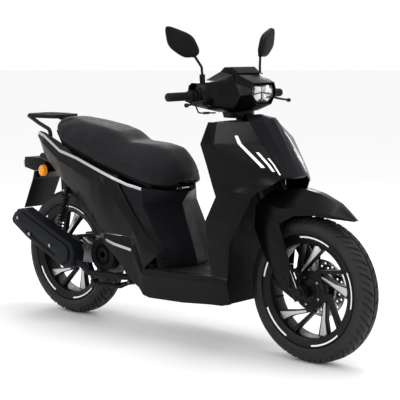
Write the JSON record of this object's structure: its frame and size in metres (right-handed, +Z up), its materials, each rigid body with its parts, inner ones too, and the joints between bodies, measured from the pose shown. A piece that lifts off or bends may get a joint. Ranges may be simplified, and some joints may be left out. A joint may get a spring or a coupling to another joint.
{
  "type": "moped scooter",
  "caption": "Large-wheel step-through moped scooter with a steering front end, sprung fork, swinging engine unit, lifting saddle, stands and working controls.",
  "frame": {"origin": "on the ground, midway along the length and width", "axes": "+X forwards, +Y to the rider's left, +Z up"},
  "size_m": [1.9602, 0.6932, 1.284],
  "materials": {
    "painted_body": "satin gloss",
    "dark_plastic": "matt",
    "black_plastic": "matt",
    "vinyl": "matt",
    "bright_trim": "satin",
    "white_light": "gloss",
    "clear_lens": "gloss",
    "red_lens": "gloss",
    "black_steel": "satin",
    "grey_alloy": "cast",
    "black_alloy": "satin",
    "steel": "satin",
    "rubber": "matt",
    "tyre": "matt",
    "muffler_black": "satin",
    "spring": "satin"
  },
  "bodies": {
    "frame": {"main_frame": "black_steel", "pivot_pins": "steel", "head_bearings": "steel", "apron_right": "painted_body", "apron_left": "painted_body", "inner_leg_shield": "dark_plastic", "nose_panel": "dark_plastic", "wheel_well": "black_plastic", "light_bars": "white_light", "floor_skirts": "painted_body", "floorboard": "black_plastic", "battery": "black_plastic", "tunnel_cover": "dark_plastic", "side_panel_right": "painted_body", "side_panel_left": "painted_body", "trim_strips": "bright_trim", "storage_bucket": "black_plastic", "fuel_tank": "black_steel", "rear_mudguard": "black_plastic", "tail_lamp": "red_lens", "luggage_rack": "black_steel"},
    "key": {"ignition_key": "steel"},
    "saddle": {"saddle_base": "black_plastic", "saddle_cushion": "vinyl"},
    "steering": {"steering_stem": "black_steel", "handlebar": "black_steel", "bar_cover_front": "painted_body", "bar_cover_rear": "dark_plastic", "instrument_cluster": "black_plastic", "headlight": "clear_lens", "switch_housings": "black_plastic", "throttle_cable": "rubber", "left_grip": "rubber"},
    "throttle": {"throttle_grip": "rubber"},
    "lever_right": {"brake_lever_right": "black_alloy"},
    "lever_left": {"brake_lever_left": "black_alloy"},
    "mirror_head_right": {"mirror_right": "black_plastic"},
    "mirror_head_left": {"mirror_left": "black_plastic"},
    "turn_slider": {"turn_switch": "black_plastic"},
    "horn": {"horn_button": "black_plastic"},
    "starter": {"starter_button": "black_plastic"},
    "fork_lower": {"fork_legs": "grey_alloy", "front_axle": "steel", "front_fender": "painted_body", "brake_caliper": "grey_alloy"},
    "front_wheel": {"front_rim": "black_alloy", "front_tyre": "tyre", "brake_disc": "steel"},
    "swing_unit": {"engine_case": "grey_alloy", "engine_shrouds": "black_plastic", "cvt_cover": "grey_alloy", "muffler": "muffler_black"},
    "kick": {"kick_lever": "steel"},
    "rear_wheel": {"rear_rim": "black_alloy", "rear_tyre": "tyre"},
    "shock_upper": {"shock_bodies": "black_steel", "shock_springs": "spring"},
    "shock_lower": {"shock_rods": "steel"},
    "centre_prop": {"centre_stand": "black_steel"},
    "side_prop": {"side_stand": "black_steel"}
  },
  "joints": [
    {"name": "steer", "type": "hinge", "parent": "frame", "child": "steering", "pos_m": [0.324, 0, 0.95], "axis": [-0.4462, 0, 0.8949], "range_deg": [-35, 35]},
    {"name": "fork_slide", "type": "slide", "parent": "steering", "child": "fork_lower", "axis": [-0.4462, 0, 0.8949], "range_m": [0, 0.035], "stiffness_N_per_m": 14000, "springref_m": -0.06},
    {"name": "front_wheel_spin", "type": "hinge", "parent": "fork_lower", "child": "front_wheel", "pos_m": [0.699, 0, 0.281], "axis": [0, 1, 0], "continuous": true},
    {"name": "throttle_twist", "type": "hinge", "parent": "steering", "child": "throttle", "pos_m": [0.25979, -0.29, 1.01597], "axis": [-0.1402, -0.99, -0.0175], "range_deg": [0, 75], "stiffness_Nm_per_rad": 0.4, "springref_deg": -34.38},
    {"name": "brake_right", "type": "hinge", "parent": "steering", "child": "lever_right", "pos_m": [0.318, -0.203, 1.004], "axis": [-0.4659, 0, -0.8848], "range_deg": [0, 18], "stiffness_Nm_per_rad": 4, "springref_deg": -11.46},
    {"name": "brake_left", "type": "hinge", "parent": "steering", "child": "lever_left", "pos_m": [0.318, 0.203, 1.004], "axis": [0.4659, 0, 0.8848], "range_deg": [0, 18], "stiffness_Nm_per_rad": 4, "springref_deg": -11.46},
    {"name": "mirror_turn_right", "type": "hinge", "parent": "steering", "child": "mirror_head_right", "pos_m": [0.2626, -0.1994, 1.17], "axis": [0, 0, 1], "range_deg": [-12, 12]},
    {"name": "mirror_turn_left", "type": "hinge", "parent": "steering", "child": "mirror_head_left", "pos_m": [0.2626, 0.1994, 1.17], "axis": [0, 0, 1], "range_deg": [-12, 12]},
    {"name": "turn_slide", "type": "slide", "parent": "steering", "child": "turn_slider", "axis": [0, 1, 0], "range_m": [-0.003, 0.003]},
    {"name": "horn_press", "type": "slide", "parent": "steering", "child": "horn", "axis": [1, 0, 0], "range_m": [0, 0.002], "stiffness_N_per_m": 400, "springref_m": -0.001},
    {"name": "starter_press", "type": "slide", "parent": "steering", "child": "starter", "axis": [1, 0, 0], "range_m": [0, 0.002], "stiffness_N_per_m": 400, "springref_m": -0.001},
    {"name": "key_turn", "type": "hinge", "parent": "frame", "child": "key", "pos_m": [0.284, -0.12, 0.86], "axis": [1, 0, 0], "range_deg": [0, 90]},
    {"name": "saddle_lift", "type": "hinge", "parent": "frame", "child": "saddle", "pos_m": [0.026, 0, 0.624], "axis": [0, 1, 0], "range_deg": [0, 70]},
    {"name": "swing", "type": "hinge", "parent": "frame", "child": "swing_unit", "pos_m": [-0.226, 0, 0.3], "axis": [0, 1, 0], "range_deg": [0, 8], "stiffness_Nm_per_rad": 6000, "springref_deg": -5.16},
    {"name": "rear_wheel_spin", "type": "hinge", "parent": "swing_unit", "child": "rear_wheel", "pos_m": [-0.651, 0, 0.281], "axis": [0, 1, 0], "continuous": true},
    {"name": "shock_tilt", "type": "hinge", "parent": "frame", "child": "shock_upper", "pos_m": [-0.586, 0, 0.575], "axis": [0, 1, 0], "range_deg": [0, 1.82]},
    {"name": "shock_slide", "type": "slide", "parent": "shock_upper", "child": "shock_lower", "axis": [0.2681, 0, 0.9634], "range_m": [0, 0.0591], "deforming": ["shock_springs"]},
    {"name": "centre_stand_swing", "type": "hinge", "parent": "swing_unit", "child": "centre_prop", "pos_m": [-0.215, 0, 0.204], "axis": [0, -1, 0], "range_deg": [0, 75]},
    {"name": "side_stand_swing", "type": "hinge", "parent": "frame", "child": "side_prop", "pos_m": [0.06, 0.15, 0.185], "axis": [0, -0.8896, -0.4568], "range_deg": [0, 82]},
    {"name": "kick_swing", "type": "hinge", "parent": "swing_unit", "child": "kick", "pos_m": [-0.33, 0.166, 0.3], "axis": [0, -1, 0], "range_deg": [0, 60], "stiffness_Nm_per_rad": 2, "springref_deg": -51.57}
  ],
  "couplings": [
    {"joint": "shock_tilt", "follows": "swing", "ratio": 0.2275},
    {"joint": "shock_slide", "follows": "swing", "m_per_rad": 0.4233}
  ]
}
